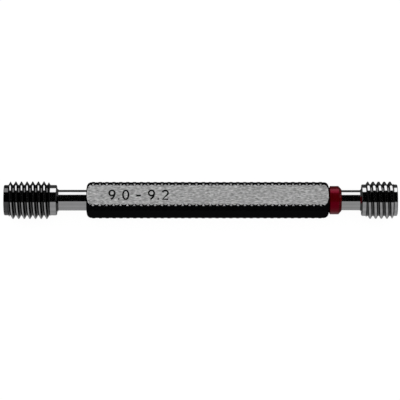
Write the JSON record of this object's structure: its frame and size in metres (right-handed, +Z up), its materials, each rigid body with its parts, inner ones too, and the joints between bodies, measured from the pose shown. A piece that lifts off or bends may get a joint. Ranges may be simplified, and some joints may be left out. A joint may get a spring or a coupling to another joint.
{
  "type": "thread plug gauge",
  "caption": "Double-ended thread plug gauge: a long GO screw member and a short NO-GO member on necks, either end of a slim four-flat knurled handle, with a red ring marking the NO-GO end",
  "frame": {"origin": "middle of the gauge's box, on the axis of the threads, halfway between the two end faces", "axes": "+X along the gauge from the GO end to the NO-GO end, +Z up, out of the bright marking flat"},
  "size_m": [0.1046, 0.01, 0.01],
  "materials": {
    "gauge_steel": "hardened, ground and polished",
    "blacked_steel": "black oxide steel, knurled lands, one flat ground bright for the marking",
    "red_ring": "gloss dark red"
  },
  "bodies": {
    "root": {"go_member": "gauge_steel", "handle": "blacked_steel", "nogo_ring": "red_ring", "nogo_member": "gauge_steel"}
  },
  "joints": []
}
